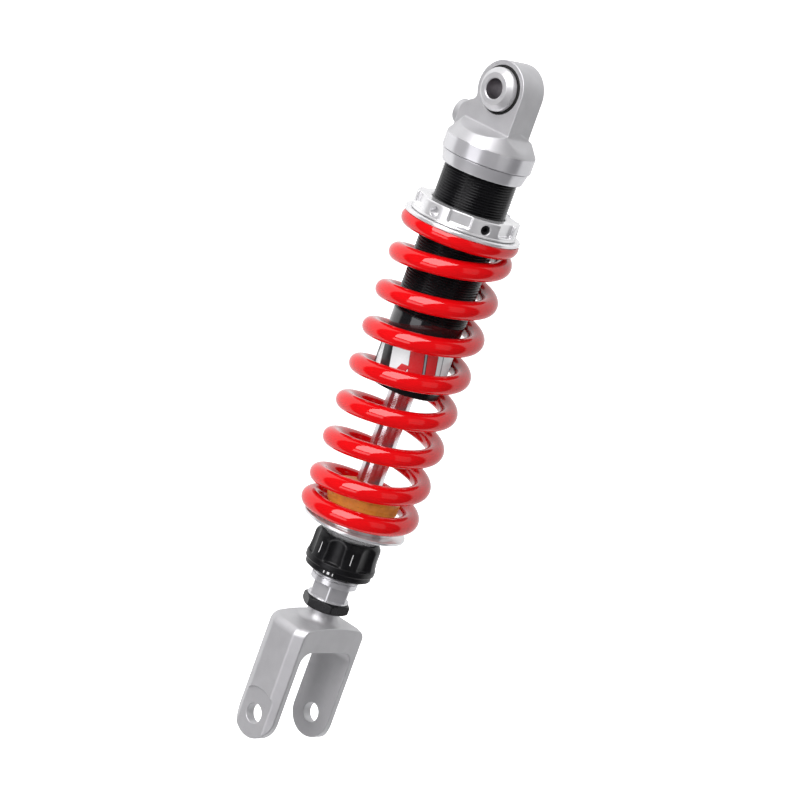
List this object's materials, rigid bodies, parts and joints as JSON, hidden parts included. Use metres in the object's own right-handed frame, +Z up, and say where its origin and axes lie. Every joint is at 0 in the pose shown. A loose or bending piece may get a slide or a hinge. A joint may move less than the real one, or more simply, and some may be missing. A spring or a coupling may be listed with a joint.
{
  "type": "motorcycle rear shock absorber",
  "caption": "Rear shock absorber with a coil spring over a gas-charged damper, an upper eye, preload ring, rebound knob and a lower fork.",
  "frame": {"origin": "centre of the upper eye bore, on the damper's axis", "axes": "+Z up along the damper's axis from the clevis to the upper eye; +X along the upper eye bolt, which is parallel to the clevis bolt at rest"},
  "size_m": [0.0715, 0.0716, 0.4328],
  "materials": {
    "satin_aluminium": "satin bead-blasted",
    "bright_aluminium": "bright turned, clear coated",
    "zinc_steel": "zinc plated",
    "hard_chrome": "ground and polished",
    "black_anodised": "satin hard anodised",
    "black_steel": "black oxide",
    "black_plastic": "satin moulded",
    "black_rubber": "matt",
    "bronze": "machined",
    "dark_polymer": "machined",
    "red_powder_coat": "gloss",
    "amber_polyurethane": "satin"
  },
  "bodies": {
    "eye_bolt_group": {"upper_collar_left": "zinc_steel", "upper_collar_right": "zinc_steel", "upper_inner_sleeve": "zinc_steel"},
    "damper_body": {"upper_eye_mount": "satin_aluminium", "upper_eye_bush": "bronze", "upper_seal_left": "black_rubber", "upper_seal_right": "black_rubber", "gas_valve_plug": "zinc_steel", "body_lock_ring": "satin_aluminium", "damper_tube": "black_anodised", "seal_head": "bright_aluminium", "seal_head_oring": "black_rubber", "rod_oil_seal": "black_rubber", "rod_wiper": "black_rubber", "seal_head_circlip": "zinc_steel", "topout_bumper": "dark_polymer", "coil_spring": "red_powder_coat"},
    "gas_piston": {"floating_piston": "bright_aluminium", "floating_piston_oring": "black_rubber"},
    "spring_perch": {"spring_thrust_washer": "bright_aluminium"},
    "preload_nut": {"preload_ring": "bright_aluminium"},
    "preload_grub": {"preload_lock_screw": "black_steel"},
    "rod_group": {"piston_rod": "hard_chrome", "piston": "bright_aluminium", "piston_band": "dark_polymer", "compression_shims": "zinc_steel", "rebound_shims": "zinc_steel", "piston_nut": "zinc_steel", "bump_stop": "amber_polyurethane", "lower_spring_seat": "bright_aluminium", "rod_end": "bright_aluminium", "detent_ball": "zinc_steel"},
    "knob": {"rebound_knob": "black_plastic"},
    "needle": {"rebound_needle": "zinc_steel", "adjuster_cross_pin": "zinc_steel"},
    "jam_nut": {"lock_nut": "black_steel"},
    "length_adjuster": {"clevis_stud": "zinc_steel"},
    "fork": {"clevis": "satin_aluminium"}
  },
  "joints": [
    {"name": "eye_swivel", "type": "hinge", "parent": "eye_bolt_group", "child": "damper_body", "pos_m": [0, 0, 0], "axis": [1, 0, 0], "range_deg": [-60, 60]},
    {"name": "stroke", "type": "slide", "parent": "damper_body", "child": "rod_group", "axis": [0, 0, 1], "range_m": [0, 0.061], "stiffness_N_per_m": 108000, "springref_m": -0.01, "deforming": ["coil_spring"]},
    {"name": "gas_piston_travel", "type": "slide", "parent": "damper_body", "child": "gas_piston", "axis": [0, 0, 1], "range_m": [0, 0.0121]},
    {"name": "preload_travel", "type": "slide", "parent": "damper_body", "child": "spring_perch", "axis": [0, 0, 1], "range_m": [0, 0.009]},
    {"name": "preload_turn", "type": "hinge", "parent": "spring_perch", "child": "preload_nut", "pos_m": [0, 0, -0.0765], "axis": [0, 0, 1], "range_deg": [0, 2160]},
    {"name": "preload_screw_turn", "type": "hinge", "parent": "preload_nut", "child": "preload_grub", "pos_m": [-0.01141, -0.02447, -0.0766], "axis": [-0.4226, -0.9063, 0], "range_deg": [0, 180]},
    {"name": "rebound_knob_turn", "type": "hinge", "parent": "rod_group", "child": "knob", "pos_m": [0, 0, -0.297], "axis": [0, 0, 1], "range_deg": [0, 300]},
    {"name": "needle_travel", "type": "slide", "parent": "rod_group", "child": "needle", "axis": [0, 0, 1], "range_m": [0, 0.00183]},
    {"name": "lock_nut_turn", "type": "hinge", "parent": "rod_group", "child": "jam_nut", "pos_m": [0, 0, -0.3266], "axis": [0, 0, 1], "range_deg": [0, 360]},
    {"name": "length_travel", "type": "slide", "parent": "rod_group", "child": "length_adjuster", "axis": [0, 0, -1], "range_m": [0, 0.0045]},
    {"name": "clevis_turn", "type": "hinge", "parent": "length_adjuster", "child": "fork", "pos_m": [0, 0, -0.345], "axis": [0, 0, 1], "range_deg": [0, 1080]}
  ],
  "couplings": [
    {"joint": "gas_piston_travel", "follows": "stroke", "ratio": 0.1975},
    {"joint": "preload_turn", "follows": "preload_travel", "rad_per_m": 4188.8},
    {"joint": "rebound_knob_turn", "follows": "needle_travel", "rad_per_m": 2857.1},
    {"joint": "clevis_turn", "follows": "length_travel", "rad_per_m": 4188.8}
  ]
}
